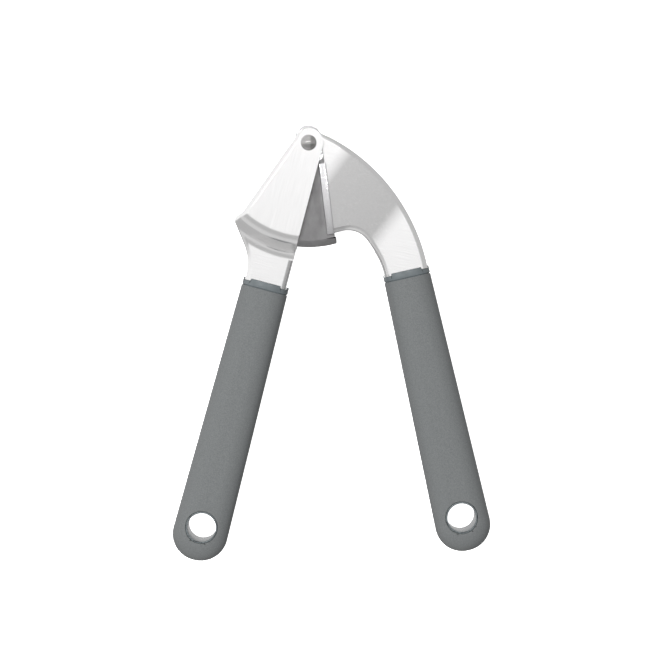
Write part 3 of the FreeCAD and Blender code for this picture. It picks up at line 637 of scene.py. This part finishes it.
studio = {
    "floorSize": 4, "floorGlow": 1.0,
    "fill": {"size": 0.35, "place": (-0.24, 0.05, 1.1), "power": 19},
    "glints": {"size": 0.02, "power": 0.22, "places": ((-0.24, 0.3, 0.9), (0.12, 0.26, 0.9))},
}


def floor():
    bpy.ops.object.select_all(action="DESELECT")
    bpy.ops.mesh.primitive_plane_add(size=studio["floorSize"], location=(0, 0, 0))
    piece = named("Floor")
    material, tree, shader = newMaterial("White floor")
    shader.inputs["Base Color"].default_value = (0.9, 0.9, 0.9, 1)
    shader.inputs["Roughness"].default_value = 0.9
    shader.inputs["Specular IOR Level"].default_value = 0
    shader.inputs["Emission Color"].default_value = (1, 1, 1, 1)
    shader.inputs["Emission Strength"].default_value = studio["floorGlow"]
    assign(piece, material)
    piece.visible_diffuse = False       # it is seen, but the room lights the press and shows in it
    piece.visible_glossy = False


def panel(name, size, place, power, aim=(0, 0, 0), inGloss=True):
    bpy.ops.object.light_add(type="AREA", location=place)
    light = bpy.context.object
    light.name = name
    light.data.shape = "SQUARE"
    light.data.size = size
    light.data.energy = power
    direction = Vector(aim) - Vector(place)
    light.rotation_euler = direction.to_track_quat("-Z", "Y").to_euler()
    light.visible_glossy = inGloss


# A white tent that is open and grey towards the ends of the grips, and greyer on the right.
def room():
    world = bpy.data.worlds.new("Room")
    bpy.context.scene.world = world
    world.use_nodes = True
    tree = world.node_tree
    background = next(node for node in tree.nodes if node.type == "BACKGROUND")
    place = tree.nodes.new("ShaderNodeTexCoord")
    split = tree.nodes.new("ShaderNodeSeparateXYZ")
    tree.links.new(place.outputs["Generated"], split.inputs["Vector"])

    def between(value, low, high, first, second):
        ramp = tree.nodes.new("ShaderNodeMapRange")
        ramp.interpolation_type = "SMOOTHSTEP"
        for port, number in (("From Min", low), ("From Max", high), ("To Min", first), ("To Max", second)):
            ramp.inputs[port].default_value = number
        tree.links.new(value, ramp.inputs["Value"])
        return ramp.outputs["Result"]

    def times(first, second):
        product = tree.nodes.new("ShaderNodeMath")
        product.operation = "MULTIPLY"
        tree.links.new(first, product.inputs[0])
        tree.links.new(second, product.inputs[1])
        return product.outputs["Value"]

    def blend(share, first, second):
        mix = tree.nodes.new("ShaderNodeMix")
        for port, value in (("Factor", share), ("A", first), ("B", second)):
            if isinstance(value, float):
                mix.inputs[port].default_value = value
            else:
                tree.links.new(value, mix.inputs[port])
        return mix.outputs["Result"]

    height = split.outputs["Z"]
    tent = between(split.outputs["Y"], -0.27, -0.05, 0.0, 1.0)
    opening = times(between(height, 0.3, 0.75, 0.68, 0.5), between(height, -0.45, -0.15, 0.7, 1.0))
    right = between(split.outputs["X"], 0.12, 0.42, 1.0, 0.55)
    glow = times(blend(tent, opening, 1.0), right)
    tree.links.new(glow, background.inputs["Color"])


viewpoint = {"place": (-0.0038, 0.0356, 0.889), "aim": (-0.0038, 0.0094, 0.0189), "lens": 114.1}


# The camera looks down on the press with +Y upright.
def camera():
    bpy.ops.object.camera_add(location=viewpoint["place"])
    viewer = bpy.context.object
    viewer.name = "Camera"
    back = (Vector(viewpoint["place"]) - Vector(viewpoint["aim"])).normalized()
    side = Vector((0, 1, 0)).cross(back).normalized()
    viewer.rotation_euler = Matrix((side, back.cross(side), back)).transposed().to_euler()
    viewer.data.sensor_width = 36
    viewer.data.lens = viewpoint["lens"]
    viewer.data.clip_start = 0.01
    bpy.context.scene.camera = viewer


floor()
room()
fill, glints = studio["fill"], studio["glints"]
panel("Fill", fill["size"], fill["place"], fill["power"], inGloss=False)
for number, spot in enumerate(glints["places"], start=1):
    panel(f"Glint{number}", glints["size"], spot, glints["power"], aim=pivot)
camera()
bpy.context.scene.view_settings.view_transform = "Standard"
print("studio ready")
